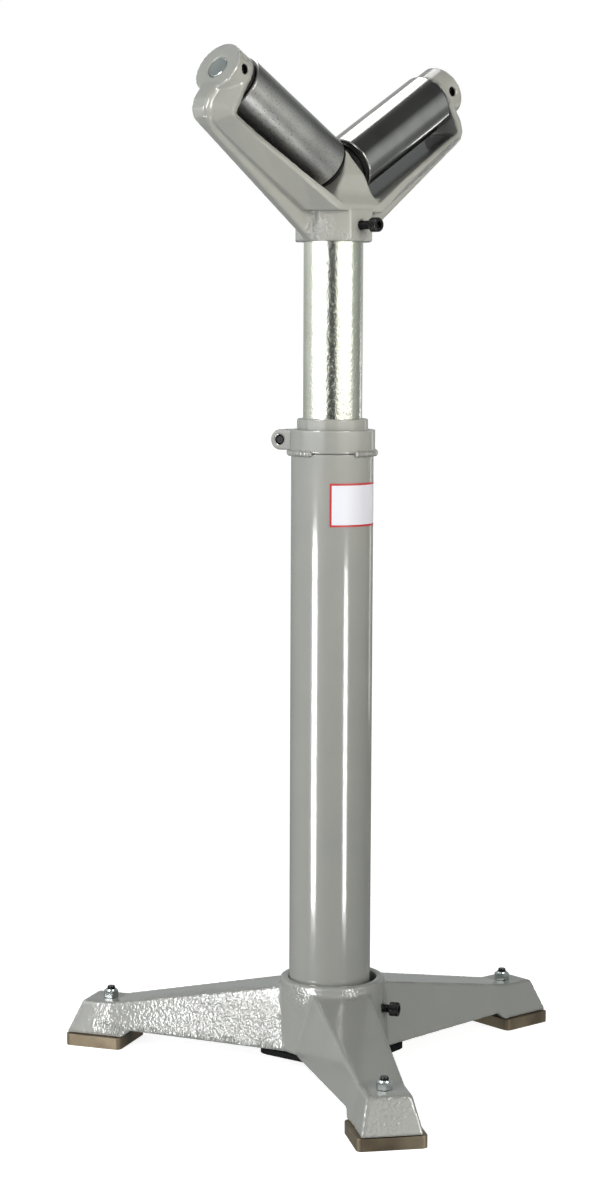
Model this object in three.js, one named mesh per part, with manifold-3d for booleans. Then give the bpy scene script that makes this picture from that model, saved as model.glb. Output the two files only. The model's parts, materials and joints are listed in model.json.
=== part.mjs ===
import * as THREE from 'three';
import { mergeVertices } from 'three/addons/utils/BufferGeometryUtils.js';
import Module from 'manifold-3d';

// A pedestal stand with two rollers set in a V, for carrying pipe and round bar.
// A cast three-legged base holds a steel column, a plated post slides in the column and is
// clamped by a split collar, and a cast yoke on the post carries the two rollers.
// Millimetres, +Z up. The first leg lies along +X. The origin is on the floor, at the
// middle of the box that holds the stand.

const wasm = await Module();
wasm.setup();

// Angles, in degrees
const legCount = 3;
const armRise = 30;
const headTurn = 6;
const clampTurn = 110;
const lockScrewTurn = -60;
const plateTurn = 13;
const wallDraft = 13.5;
const setScrewTilt = 7;
const weldTurns = [-64, 164];
const weldSpan = 72;

// Clearances
const seatGap = 0.25;
const slideGap = 0.3;
const runningGap = 0.35;
const cutOverrun = 3;
const weldDistance = 0.0001;

// Facets of a full turn, and steps along an arc
const wideSides = 48;
const middleSides = 24;
const smallSides = 12;
const hexSides = 6;
const socketSides = 8;
const cornerSteps = 2;
const filletSteps = 4;

// Column, post and guide sleeve
const columnRadius = 38;
const columnWall = 5;
const columnTop = 575;
const postWall = 5;
const postLength = 565;
const sleeveWall = 5.2;
const sleeveLength = 110;
const sleeveRise = 10;
const sleeveSlot = 3;

// Split collar on the column's top
const collarStep = 1.3;
const collarHeight = 21;
const collarSlit = 0.8;
const collarChamfer = 1;
const collarSlot = 3;
const lugOffset = 11.2;
const lugRadius = 9.5;
const lugThickness = 8;
const beadRadius = 3;

// Machine screws of the 8 mm size
const screwRadius = 4;
const screwHoleRadius = 4.4;
const screwChamfer = 0.8;
const capHeadRadius = 6.5;
const capHeadHeight = 8;
const capSocketFlats = 6;
const capSocketDepth = 4;
const hexFlats = 13;
const hexHeadHeight = 5.5;
const nutHeight = 6.5;
const nutCollarRadius = 5.6;
const nutCollarHeight = 1.6;
const boltStandout = 2.6;
const sunkHeadRadius = 7.8;
const sunkHeadHeight = 4;
const sunkHeadRecess = 0.8;
const sunkSocketFlats = 5;
const sunkSocketDepth = 2.5;

// Base casting
const padThickness = 11;
const padWidth = 62;
const padLength = 57;
const padCorner = 5;
const hubTop = 85;
const hubBottom = 18.5;
const hubPlay = 3;
const hubWall = 8;
const hubFlare = 4;
const rimHeight = 8;
const rimChamfer = 1.5;
const crestHeight = 43;
const crestReach = 216;
const plateauLength = 31;
const toeLength = 14;
const crestHalfWidth = 20;
const legRootHalfWidth = 28.5;
const footStep = 9;
const toeEdge = 0.5;
const legWall = 7;
const legRoof = 7;
const legHollowInset = 9;
const nutSetback = 10;
const boltBossRadius = 12;
const lockScrewHeight = 57.5;
const lockScrewLength = 22;

// Plate under the hub, which carries the column
const plateInset = 1;
const plateThickness = 5;
const plateCorner = 14;
const plateScrewInset = 2;
const plateScrewLength = 20;

// Yoke casting. Along an arm, reach is measured on the roller's axis from the point where
// the two axes meet, and drop is measured square to that axis, downwards.
const headHeight = 767;
const axisRise = 59.8;
const socketWall = 7;
const socketHeight = 28;
const socketDepth = 25;
const headScrewRise = 14.5;
const headScrewLength = 20;
const floorGap = 8;
const floorSink = 1;
const floorStops = [
  // reach, half width, thickness of the edge, half width and thickness of the middle
  [-40, 33.8, 8, 13, 18.5],
  [12, 33.8, 8, 13, 18.5],
  [60, 27.2, 5.5, 11, 18],
  [115, 22.4, 4.5, 9.5, 16.5],
];
const floorEnd = [22, 4, 8.5, 14.5];
const earEnd = [23, 6, 10, 18.5];
const bossRadius = 24;
const bossThickness = 21;
const ribTipHalfWidth = 5;
const ribRoot = 4;
const ribDraft = 2;
const ribChamfer = 1.6;
const ribOuterDepth = 19.2;
const ribInnerDepth = 33.5;
const cornerStops = [
  // turn outwards, rib depth, half width of the rib's tip
  [30, 20.5, 6],
  [50, 23.8, 7.6],
  [68, 25.1, 8.6],
  [90, 25.1, 9],
];
const ribEnds = [
  // drop where the rib runs out on the ear, depth, half width of its tip
  [28, 24.2, 9.5],
  [14, 20.5, 11],
];
const wedgeReach = 12.5;
const wedgeHalfWidth = 26.2;
const wedgeTaper = 0.5;
const wedgeFillet = 8;
const wedgeNose = 3;
const wedgeCorner = 3;
const wedgeRoot = [20, -31];
const wedgeFoot = [
  // half length, half width, height above the roller axes' meeting point
  [2, 33.4, -41],
  [30, 33.4, -27],
  [27.5, 30.4, -22.5],
  [24.5, 27.6, -18],
  [21.5, 26, -13],
];

// Rollers, axles, bearings and dust rings
const rollerRadius = 26.5;
const rollerLength = 128;
const rollerWall = 3;
const rollerChamfer = 0.8;
const axleRadius = 10;
const axleWeb = 1.35;
const axleChamfer = 1;
const bearingWidth = 14;
const bearingInset = 2;
const innerRaceWall = 3.6;
const outerRaceWall = 3.6;
const shieldThickness = 1;
const shieldInset = 0.6;
const dustRingRadius = 24.6;
const dustRingWidth = 6.9;
const dustGroove = 1.2;
const dustGrooveWidth = 0.8;
const outerDustRadius = 23;
const outerDustWidth = 2.9;
const grubLength = 9;
const grubSocketFlats = 4;
const grubSocketDepth = 3;

// Sizes worked out from the ones above
const toRadians = Math.PI / 180;
const draftSlope = Math.tan(wallDraft * toRadians);
const armCos = Math.cos(armRise * toRadians);
const armSin = Math.sin(armRise * toRadians);
const columnBore = columnRadius - columnWall;
const sleeveRadius = columnBore - slideGap;
const sleeveBore = sleeveRadius - sleeveWall;
const postRadius = sleeveBore - slideGap;
const collarRadius = columnRadius + collarStep;
const lugReach = collarRadius + lugOffset;
const collarBottom = columnTop + collarSlit;
const collarTop = collarBottom + collarHeight;
const sleeveTop = collarTop + sleeveRise;
const bearingRadius = rollerRadius - rollerWall - seatGap;
const rollerStart = wedgeReach + seatGap + dustRingWidth + runningGap;
const rollerEnd = rollerStart + rollerLength;
const earInnerReach = rollerEnd + runningGap + outerDustWidth + seatGap;
const bossReach = earInnerReach + bossThickness;
const floorDrop = rollerRadius + floorGap;
const axleBoreInset = ((axleRadius + slideGap) * armSin + axleWeb) / armCos;
const socketFlats = 2 * (postRadius + slideGap + socketWall);
const hubBore = columnRadius + hubPlay;
const hubOffset = hubPlay - seatGap;
const hubTopRadius = hubBore + hubWall;
const hubBottomRadius = hubTopRadius + hubFlare;
const legHollowStart = hubBottomRadius + legHollowInset;
const nutReach = crestReach + nutSetback;
const plateauEnd = crestReach + plateauLength;
const footReach = plateauEnd + toeLength;
const plateSide = 2 * (hubBottomRadius - plateInset);
const plateScrewReach = hubBottomRadius - plateScrewInset;
const plateHoleTop = hubBottom + plateScrewLength;

// Materials
function finish(color, roughness, metalness) {
  return new THREE.MeshStandardMaterial({ color, roughness, metalness });
}
const greyPaint = () => finish(0xa9a9a4, 0.45, 0.1);
const zincPlate = () => finish(0xc9ccbd, 0.3, 0.9);
const polishedSteel = () => finish(0xb9b8b4, 0.18, 1);
const blackOxide = () => finish(0x121212, 0.45, 0.6);
const padMetal = () => finish(0x80705a, 0.4, 0.7);
const blackRubber = () => finish(0x0e0e0e, 0.7, 0);
const bearingSteel = () => finish(0xa8a8a8, 0.3, 1);

const unitX = new THREE.Vector3(1, 0, 0);

// Turns a closed geometry into a solid that can be joined and cut.
function solidOf(geometry) {
  const bare = geometry.clone();
  bare.deleteAttribute('normal');
  bare.deleteAttribute('uv');
  const merged = mergeVertices(bare, weldDistance);
  const corners = merged.index.array;
  const kept = [];
  for (let i = 0; i < corners.length; i += 3) {
    const [a, b, c] = [corners[i], corners[i + 1], corners[i + 2]];
    if (a !== b && b !== c && c !== a) kept.push(a, b, c);
  }
  return new wasm.Manifold(new wasm.Mesh({
    numProp: 3,
    vertProperties: new Float32Array(merged.attributes.position.array),
    triVerts: new Uint32Array(kept),
  }));
}

// Turns a solid back into a flat-shaded geometry.
function geometryOf(solid) {
  const mesh = solid.getMesh();
  const geometry = new THREE.BufferGeometry();
  const corners = Float32Array.from(mesh.vertProperties);
  geometry.setAttribute('position', new THREE.BufferAttribute(corners, 3));
  geometry.setIndex(Array.from(mesh.triVerts));
  const flat = geometry.toNonIndexed();
  flat.computeVertexNormals();
  return flat;
}

function joined(geometries) {
  return geometries.map(solidOf).reduce((whole, solid) => whole.add(solid));
}

function cut(solid, geometries) {
  return geometries.map(solidOf).reduce((rest, tool) => rest.subtract(tool), solid);
}

// A solid of revolution about +Z from [radius, height] points, anticlockwise.
function revolve(profile, sides) {
  const points = profile.map(([radius, height]) => new THREE.Vector2(radius, height));
  return new THREE.LatheGeometry(points, sides).rotateX(Math.PI / 2);
}

function disc(radius, bottom, top, sides) {
  return revolve([[0, bottom], [radius, bottom], [radius, top], [0, top]], sides);
}

function ring(inner, outer, bottom, top, sides) {
  return revolve([[inner, bottom], [outer, bottom], [outer, top], [inner, top], [inner, bottom]], sides);
}

function bar(radius, bottom, top, chamfer, sides) {
  return revolve([
    [0, bottom],
    [radius - chamfer, bottom],
    [radius, bottom + chamfer],
    [radius, top - chamfer],
    [radius - chamfer, top],
    [0, top],
  ], sides);
}

function block(width, depth, height) {
  return new THREE.BoxGeometry(width, depth, height);
}

function hexBar(flats, bottom, top) {
  return disc(flats / 2 / Math.cos(Math.PI / hexSides), bottom, top, hexSides);
}

// Each arc of the outline gets twice as many facets as curveSegments says.
function extruded(shape, depth, curveSegments = cornerSteps) {
  return new THREE.ExtrudeGeometry(shape, { depth, bevelEnabled: false, curveSegments });
}

function outline(points) {
  return new THREE.Shape(points.map(([x, y]) => new THREE.Vector2(x, y)));
}

function roundedRectangle(width, height, corner) {
  const [x, y] = [width / 2 - corner, height / 2 - corner];
  const shape = new THREE.Shape();
  shape.absarc(x, y, corner, 0, Math.PI / 2);
  shape.absarc(-x, y, corner, Math.PI / 2, Math.PI);
  shape.absarc(-x, -y, corner, Math.PI, 1.5 * Math.PI);
  shape.absarc(x, -y, corner, 1.5 * Math.PI, 2 * Math.PI);
  shape.closePath();
  return shape;
}

// Skins over rings of corners, each ring with the same number of corners in the same order.
function loft(rings) {
  const count = rings[0].length;
  const corners = [];
  const wall = (i, j) => {
    const k = (j + 1) % count;
    corners.push(rings[i][j], rings[i][k], rings[i + 1][k]);
    corners.push(rings[i][j], rings[i + 1][k], rings[i + 1][j]);
  };
  for (let i = 0; i < rings.length - 1; i += 1) {
    for (let j = 0; j < count; j += 1) wall(i, j);
  }
  const [first, last] = [rings[0], rings[rings.length - 1]];
  for (let j = 1; j < count - 1; j += 1) {
    corners.push(first[0], first[j + 1], first[j]);
    corners.push(last[0], last[j], last[j + 1]);
  }
  const geometry = new THREE.BufferGeometry();
  geometry.setAttribute('position', new THREE.BufferAttribute(new Float32Array(corners.flat()), 3));
  return mergeVertices(geometry, weldDistance);
}

// A named piece, placed in its group.
function piece(name, shape, material) {
  const solid = shape instanceof THREE.BufferGeometry ? solidOf(shape) : shape;
  const mesh = new THREE.Mesh(geometryOf(solid), material);
  mesh.name = name;
  return mesh;
}

function group(children, x = 0, y = 0, z = 0, turn = 0) {
  const holder = new THREE.Group();
  holder.position.set(x, y, z);
  holder.rotation.z = turn * toRadians;
  holder.add(...children);
  return holder;
}

// Fasteners, each standing on z = 0 with its head above and its shank below

function capScrew(length) {
  const head = bar(capHeadRadius, 0, capHeadHeight, screwChamfer, middleSides);
  const shank = bar(screwRadius, -length, screwRadius, screwChamfer, smallSides);
  const socket = hexBar(capSocketFlats, capHeadHeight - capSocketDepth, capHeadHeight + cutOverrun);
  return cut(joined([head, shank]), [socket]);
}

// A hexagon whose corners are chamfered at both ends.
function crownedHex(bottom, top) {
  const crown = bar(hexFlats / 2 + screwChamfer, bottom, top, screwChamfer, smallSides);
  return solidOf(hexBar(hexFlats, bottom, top)).intersect(solidOf(crown));
}

function hexScrew(length) {
  const shank = solidOf(bar(screwRadius, -length, screwRadius, screwChamfer, smallSides));
  return crownedHex(0, hexHeadHeight).add(shank);
}

function lockNut() {
  const top = nutHeight + nutCollarHeight;
  const collar = bar(nutCollarRadius, 0, top, nutCollarHeight / 2, middleSides);
  const hole = disc(screwHoleRadius, -cutOverrun, top + cutOverrun, smallSides);
  return cut(crownedHex(0, nutHeight).add(solidOf(collar)), [hole]);
}

// A sunk-head bolt from below: the cone's wide end is at the bottom.
function footBolt(length) {
  const body = revolve([
    [0, 0],
    [sunkHeadRadius, 0],
    [screwRadius, sunkHeadHeight],
    [screwRadius, length - screwChamfer],
    [screwRadius - screwChamfer, length],
    [0, length],
  ], smallSides);
  return cut(solidOf(body), [hexBar(sunkSocketFlats, -cutOverrun, sunkSocketDepth)]);
}

// Base casting: a hub and three hollow legs whose walls lean out towards the floor

function legTopHeight(reach) {
  const rootHeight = hubTop - rimHeight;
  const run = (reach - hubBore) / (crestReach - hubBore);
  return reach > crestReach ? crestHeight : rootHeight + (crestHeight - rootHeight) * run;
}

function legHalfWidth(reach) {
  const run = Math.min(reach / crestReach, 1);
  return legRootHalfWidth + (crestHalfWidth - legRootHalfWidth) * run;
}

// One slice across the leg: narrow at the top and wide at the bottom.
function legSlice(reach, top, bottom, inset) {
  const topHalf = legHalfWidth(reach) + draftSlope * (legTopHeight(reach) - top) - inset;
  const bottomHalf = legHalfWidth(reach) + draftSlope * (legTopHeight(reach) - bottom) - inset;
  return [
    [reach, -topHalf, top],
    [reach, -bottomHalf, bottom],
    [reach, bottomHalf, bottom],
    [reach, topHalf, top],
  ];
}

function legBody() {
  const footStart = footReach - padLength;
  const stepStart = footStart - footStep;
  const padTop = padThickness + seatGap;
  return loft([
    legSlice(0, legTopHeight(0), hubBottom, 0),
    legSlice(stepStart, legTopHeight(stepStart), hubBottom, 0),
    legSlice(footStart, legTopHeight(footStart), padTop, 0),
    legSlice(crestReach, crestHeight, padTop, 0),
    legSlice(plateauEnd, crestHeight, padTop, 0),
    legSlice(footReach, padTop + toeEdge, padTop, 0),
  ]);
}

function legHollow() {
  const roof = crestHeight - legRoof;
  return loft([
    legSlice(legHollowStart, legTopHeight(legHollowStart) - legRoof, 0, legWall),
    legSlice(crestReach, roof, 0, legWall),
    legSlice(plateauEnd - legWall, roof, 0, legWall),
  ]);
}

function hubBody() {
  return revolve([
    [0, hubBottom],
    [hubBottomRadius, hubBottom],
    [hubTopRadius, hubTop - rimChamfer],
    [hubTopRadius - rimChamfer, hubTop],
    [0, hubTop],
  ], wideSides);
}

function legTurns() {
  return Array.from({ length: legCount }, (_, i) => i * 360 / legCount);
}

function baseCasting() {
  const onLegs = (make) => legTurns().map((turn) => make().rotateZ(turn * toRadians));
  const [bossBottom, bossTop] = [padThickness + seatGap, crestHeight - legRoof / 2];
  const bosses = onLegs(() => disc(boltBossRadius, bossBottom, bossTop, middleSides)
    .translate(nutReach, 0, 0));
  const boltHoles = onLegs(() => disc(screwHoleRadius, 0, crestHeight + cutOverrun, smallSides)
    .translate(nutReach, 0, 0));
  const plateHoles = onLegs(() => disc(screwHoleRadius, 0, plateHoleTop, smallSides)
    .translate(plateScrewReach, 0, 0));
  const bore = disc(hubBore, 0, hubTop + cutOverrun, wideSides);
  const screwHole = disc(screwHoleRadius, hubBore - cutOverrun, hubBottomRadius + cutOverrun, smallSides)
    .rotateY(Math.PI / 2)
    .translate(0, 0, lockScrewHeight)
    .rotateZ(lockScrewTurn * toRadians);
  const shell = cut(joined([hubBody(), ...onLegs(legBody)]), onLegs(legHollow));
  return cut(shell.add(joined(bosses)), [bore, screwHole, ...boltHoles, ...plateHoles]);
}

function footPad() {
  const plate = extruded(roundedRectangle(padLength, padWidth, padCorner), padThickness);
  const hole = revolve([
    [0, -cutOverrun],
    [sunkHeadRadius + runningGap, -cutOverrun],
    [sunkHeadRadius + runningGap, sunkHeadRecess],
    [screwHoleRadius, sunkHeadRecess + sunkHeadHeight],
    [screwHoleRadius, padThickness + cutOverrun],
    [0, padThickness + cutOverrun],
  ], smallSides).translate(nutReach - footReach + padLength / 2, 0, 0);
  return cut(solidOf(plate), [hole]);
}

function foot(name, turn) {
  const boltLength = crestHeight + seatGap + nutHeight + nutCollarHeight + boltStandout - sunkHeadRecess;
  const pad = piece(`foot_pad_${name}`, footPad(), padMetal());
  pad.position.set(footReach - padLength / 2, 0, 0);
  const bolt = piece(`foot_bolt_${name}`, footBolt(boltLength), blackOxide());
  bolt.position.set(nutReach, 0, sunkHeadRecess);
  const nut = piece(`foot_nut_${name}`, lockNut(), zincPlate());
  nut.position.set(nutReach, 0, crestHeight + seatGap);
  return group([pad, bolt, nut], 0, 0, 0, turn);
}

// The plate screwed up under the hub, on which the column stands

function plateScrewPlace(turn) {
  return [Math.cos(turn * toRadians) * plateScrewReach, Math.sin(turn * toRadians) * plateScrewReach];
}

function basePlate() {
  const plate = extruded(roundedRectangle(plateSide, plateSide, plateCorner), plateThickness)
    .rotateZ(plateTurn * toRadians);
  const holes = legTurns().map((turn) => {
    const [x, y] = plateScrewPlace(turn);
    return disc(screwHoleRadius, -cutOverrun, plateThickness + cutOverrun, smallSides).translate(x, y, 0);
  });
  return cut(solidOf(plate), holes);
}

function plateScrew(name, turn) {
  const screw = piece(`plate_screw_${name}`, hexScrew(plateScrewLength), zincPlate());
  const [x, y] = plateScrewPlace(turn);
  screw.rotation.x = Math.PI;
  screw.position.set(x, y, hubBottom - seatGap - plateThickness - seatGap);
  return screw;
}

function baseLockScrew() {
  const screw = piece('base_lock_screw', capScrew(lockScrewLength), blackOxide());
  const tip = columnRadius + runningGap - hubOffset;
  screw.rotation.y = Math.PI / 2;
  screw.position.set(tip + lockScrewLength, 0, lockScrewHeight);
  return group([screw], 0, 0, 0, lockScrewTurn);
}

function base() {
  const names = ['right', 'left', 'front'];
  const turns = legTurns();
  const plate = piece('base_plate', basePlate(), blackOxide());
  plate.position.z = hubBottom - seatGap - plateThickness;
  const shift = lockScrewTurn * toRadians;
  return group([
    piece('base_casting', baseCasting(), greyPaint()),
    plate,
    baseLockScrew(),
    ...turns.map((turn, i) => foot(names[i % names.length], turn)),
    ...turns.map((turn, i) => plateScrew(names[i % names.length], turn)),
  ], Math.cos(shift) * hubOffset, Math.sin(shift) * hubOffset);
}

// Column, collar, welds and guide sleeve

function columnTube() {
  return ring(columnBore, columnRadius, hubBottom, columnTop, wideSides);
}

// One lug of the clamp: a tongue with a round end, its flat faces across the tangent.
function lug() {
  const middle = collarBottom + collarHeight / 2;
  const reach = lugReach - columnRadius;
  const tongue = block(reach, lugThickness, 2 * lugRadius).translate(lugReach - reach / 2, 0, middle);
  const end = disc(lugRadius, -lugThickness / 2, lugThickness / 2, middleSides)
    .rotateX(Math.PI / 2)
    .translate(lugReach, 0, middle);
  return joined([tongue, end]);
}

function clampCollar() {
  const body = solidOf(revolve([
    [columnBore, collarBottom],
    [collarRadius, collarBottom],
    [collarRadius, collarTop - collarChamfer],
    [collarRadius - collarChamfer, collarTop],
    [columnBore, collarTop],
    [columnBore, collarBottom],
  ], wideSides));
  const offset = collarSlot / 2 + lugThickness / 2;
  const lugs = [-offset, offset].map((y) => solidOf(geometryOf(lug()).translate(0, y, 0)));
  const middle = collarBottom + collarHeight / 2;
  const slotLength = lugReach + lugRadius;
  const slot = block(slotLength, collarSlot, collarHeight + 2 * cutOverrun)
    .translate(slotLength / 2, 0, middle);
  const hole = disc(screwHoleRadius, -lugReach, lugReach, smallSides)
    .rotateX(Math.PI / 2)
    .translate(lugReach, 0, middle);
  const bore = disc(columnBore, 0, sleeveTop, wideSides);
  return cut(lugs.reduce((whole, one) => whole.add(one), body), [slot, hole, bore]);
}

// The clamp screw lies across the split, with its head on the far lug.
function clampScrew() {
  const offset = collarSlot / 2 + lugThickness + seatGap;
  const screw = piece('clamp_screw', capScrew(2 * lugThickness + collarSlot - seatGap), blackOxide());
  screw.rotation.x = Math.PI / 2;
  screw.position.set(lugReach, -offset, collarBottom + collarHeight / 2);
  return screw;
}

// The path of a weld bead round the column, as part of a circle.
class BeadPath extends THREE.Curve {
  constructor(radius, height, span) {
    super();
    Object.assign(this, { radius, height, span });
  }

  getPoint(t) {
    const angle = (t - 1 / 2) * this.span;
    return new THREE.Vector3(Math.cos(angle) * this.radius, Math.sin(angle) * this.radius, this.height);
  }
}

function weldBead() {
  const section = new THREE.Shape().absarc(0, 0, beadRadius, 0, 2 * Math.PI);
  const path = new BeadPath(collarRadius, collarBottom - collarSlit / 2, weldSpan * toRadians);
  const bead = new THREE.ExtrudeGeometry(section, {
    extrudePath: path,
    steps: smallSides,
    curveSegments: filletSteps,
  });
  const column = disc(columnRadius + seatGap, 0, collarBottom, wideSides);
  const collar = disc(collarRadius + seatGap, collarBottom - seatGap, collarTop, wideSides);
  return cut(solidOf(bead), [column, collar]);
}

function guideSleeve() {
  const bottom = sleeveTop - sleeveLength;
  const body = ring(sleeveBore, sleeveRadius, bottom, sleeveTop, wideSides);
  const slot = block(sleeveRadius * 2, sleeveSlot, sleeveLength + 2 * cutOverrun)
    .translate(sleeveRadius, 0, bottom + sleeveLength / 2);
  return cut(solidOf(body), [slot]);
}

function column() {
  const welds = weldTurns.map((turn, i) => {
    const bead = piece(`collar_weld_${['right', 'left'][i]}`, weldBead(), greyPaint());
    return group([bead], 0, 0, 0, turn);
  });
  const clamp = group([
    piece('clamp_collar', clampCollar(), greyPaint()),
    piece('guide_sleeve', guideSleeve(), greyPaint()),
    clampScrew(),
  ], 0, 0, 0, clampTurn);
  return group([piece('column_tube', columnTube(), greyPaint()), clamp, ...welds]);
}

function post() {
  const top = headHeight + socketDepth - seatGap;
  const tube = ring(postRadius - postWall, postRadius, top - postLength, top, wideSides);
  return piece('post_tube', tube, zincPlate());
}

// Yoke casting, in a frame whose origin is the point where the roller axes meet. An arm is
// drawn along +X with its roller axis on X, and is then raised to its own side.

function armFrame(side) {
  const along = new THREE.Vector3(side * armCos, 0, armSin);
  const up = new THREE.Vector3(-side * armSin, 0, armCos);
  return new THREE.Matrix4().makeBasis(along, new THREE.Vector3(0, side, 0), up);
}

// Skins over a section that is carried along the arm's underside, round its outer corner and
// up its ear. Each stop gives where the section hangs, how far it has turned outwards, and the
// near half of the section, as distance across the arm and depth below the face it hangs from.
function carried(stops) {
  return loft(stops.map(({ reach, drop, turn, half }) => {
    const near = half.map(([across, depth]) => [-across, depth]);
    return [...near, ...half.reverse()].map(([across, depth]) => [
      reach + depth * Math.sin(turn * toRadians),
      across,
      -(drop + depth * Math.cos(turn * toRadians)),
    ]);
  }));
}

// The bar under the roller and the ear, flat towards the roller and thin at both edges. The
// bar is widest at the socket.
function armShell() {
  const stop = (reach, drop, turn, [width, edge, middle, depth]) => ({
    reach, drop, turn, half: [[width, 0], [width, edge], [middle, depth]],
  });
  return carried([
    ...floorStops.map(([reach, ...sizes]) => stop(reach, floorDrop, 0, sizes)),
    stop(earInnerReach, floorDrop, 0, floorEnd),
    ...cornerStops.map(([turn]) => {
      const sizes = floorEnd.map((size, i) => size + (earEnd[i] - size) * turn / 90);
      return stop(earInnerReach, floorDrop, turn, sizes);
    }),
    stop(earInnerReach, 0, 90, earEnd),
  ]);
}

// The rib outside that shell. It runs out flush on the boss.
function armRib() {
  const stop = (reach, drop, turn, depth, tip) => ({
    reach,
    drop,
    turn,
    half: [
      [tip + ribDraft, ribRoot],
      [tip, depth - ribChamfer],
      [tip - ribChamfer, depth],
    ],
  });
  return carried([
    stop(0, floorDrop, 0, ribInnerDepth, ribTipHalfWidth),
    stop(earInnerReach, floorDrop, 0, ribOuterDepth, ribTipHalfWidth),
    ...cornerStops.map(([turn, depth, tip]) => stop(earInnerReach, floorDrop, turn, depth, tip)),
    ...ribEnds.map(([drop, depth, tip]) => stop(earInnerReach, drop, 90, depth, tip)),
  ]);
}

function armBoss() {
  return disc(bossRadius, earInnerReach, bossReach, wideSides).rotateY(Math.PI / 2);
}

// Each arm ends at the plane between the two, and its bar ends just below the socket's top.
function arm(side) {
  const span = 2 * bossReach;
  const raise = (parts) => solidOf(geometryOf(joined(parts)).applyMatrix4(armFrame(side)));
  const ownSide = block(span, span, 2 * span).translate(side * span / 2, 0, 0);
  const aboveSocket = block(2 * span, span, span)
    .translate(0, 0, socketHeight - axisRise - floorSink + span / 2);
  const bar = raise([armShell()]).intersect(solidOf(aboveSocket));
  return bar.add(raise([armRib(), armBoss()])).intersect(solidOf(ownSide));
}

// The wedge between the rollers holds both inner axle ends. Its flanks are square to the
// roller axes, it narrows towards its rounded top, and at its foot it has a fillet on each bar
// and spreads to their edges. It is skinned over rounded rectangles, each with half its length,
// half its width and its height.
function wedge() {
  const skin = (levels) => loft(levels.map(([x, y, z]) => {
    const corner = Math.min(wedgeCorner, x - seatGap / 2);
    const points = roundedRectangle(2 * x, 2 * y, corner).extractPoints(1).shape;
    return points.map((point) => [point.x, point.y, z]);
  }));
  const level = (x, z) => [x, wedgeHalfWidth - wedgeTaper * Math.max(z, 0), z];
  const place = (reach, drop) => level(reach * armCos + drop * armSin, reach * armSin - drop * armCos);
  const levels = [level(...wedgeRoot), place(wedgeReach + wedgeFillet, floorDrop + floorSink)];
  for (let i = 0; i <= filletSteps; i += 1) {
    const angle = (i / filletSteps) * Math.PI / 2;
    levels.push(place(
      wedgeReach + wedgeFillet * (1 - Math.sin(angle)),
      floorDrop - wedgeFillet * (1 - Math.cos(angle)),
    ));
  }
  const noseHeight = (wedgeReach - wedgeNose) / armSin;
  levels.push(place(wedgeReach, wedgeReach * armSin / armCos));
  for (let i = 0; i <= filletSteps; i += 1) {
    const angle = armRise * toRadians + (i / filletSteps) * (90 - armRise) * toRadians;
    levels.push(level(wedgeNose * Math.cos(angle) + seatGap, noseHeight + wedgeNose * Math.sin(angle)));
  }
  return joined([skin(levels), skin(wedgeFoot)]);
}

function socket() {
  const radius = socketFlats / 2 / Math.cos(Math.PI / socketSides);
  return disc(radius, -axisRise, socketHeight - axisRise, socketSides).rotateZ(Math.PI / socketSides);
}

// Both set screws enter from the stand's front, so their side changes with the arm's side.
function setScrewFrame(side) {
  const tilt = setScrewTilt * toRadians;
  const out = new THREE.Vector3(0, -side * Math.cos(tilt), Math.sin(tilt));
  const across = new THREE.Vector3().crossVectors(out, unitX);
  const frame = new THREE.Matrix4().makeBasis(unitX, across, out);
  frame.setPosition(earInnerReach + bossThickness / 2, 0, 0);
  return armFrame(side).multiply(frame);
}

function yoke() {
  const body = arm(1).add(arm(-1)).add(wedge()).add(solidOf(socket()));
  const postHole = disc(postRadius + slideGap, -axisRise - cutOverrun, socketDepth - axisRise, wideSides);
  const screwHole = disc(screwHoleRadius, postRadius - cutOverrun, socketFlats, smallSides)
    .rotateX(Math.PI / 2)
    .translate(0, 0, headScrewRise - axisRise);
  const axleHoles = [1, -1].flatMap((side) => [
    disc(axleRadius + slideGap, axleBoreInset, wedgeReach + cutOverrun, middleSides),
    disc(axleRadius + slideGap, earInnerReach - cutOverrun, bossReach + cutOverrun, middleSides),
  ].map((hole) => hole.rotateY(Math.PI / 2).applyMatrix4(armFrame(side))));
  const setHoles = [1, -1].map((side) => (
    disc(screwHoleRadius, axleRadius, bossRadius + cutOverrun, smallSides)
      .applyMatrix4(setScrewFrame(side))));
  return cut(body, [postHole, screwHole, ...axleHoles, ...setHoles]);
}

// What each arm carries, drawn along +X in the arm's own frame

function alongAxis(geometry) {
  return geometry.rotateY(Math.PI / 2);
}

function axle() {
  const start = axleBoreInset + slideGap;
  return alongAxis(bar(axleRadius, start, bossReach - seatGap, axleChamfer, middleSides));
}

function roller() {
  const bore = rollerRadius - rollerWall;
  return alongAxis(revolve([
    [bore, rollerStart],
    [rollerRadius - rollerChamfer, rollerStart],
    [rollerRadius, rollerStart + rollerChamfer],
    [rollerRadius, rollerEnd - rollerChamfer],
    [rollerRadius - rollerChamfer, rollerEnd],
    [bore, rollerEnd],
    [bore, rollerStart],
  ], wideSides));
}

function innerRace(start) {
  const inner = axleRadius + seatGap;
  return alongAxis(ring(inner, inner + innerRaceWall, start, start + bearingWidth, middleSides));
}

// The outer race holds both shields, which stop just short of the inner race.
function outerRace(start) {
  const end = start + bearingWidth;
  const track = bearingRadius - outerRaceWall;
  const lip = axleRadius + seatGap + innerRaceWall + runningGap;
  return alongAxis(revolve([
    [lip, start + shieldInset],
    [track, start],
    [bearingRadius, start],
    [bearingRadius, end],
    [track, end],
    [lip, end - shieldInset],
    [lip, end - shieldInset - shieldThickness],
    [track, end - shieldInset - shieldThickness],
    [track, start + shieldInset + shieldThickness],
    [lip, start + shieldInset + shieldThickness],
    [lip, start + shieldInset],
  ], middleSides));
}

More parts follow.
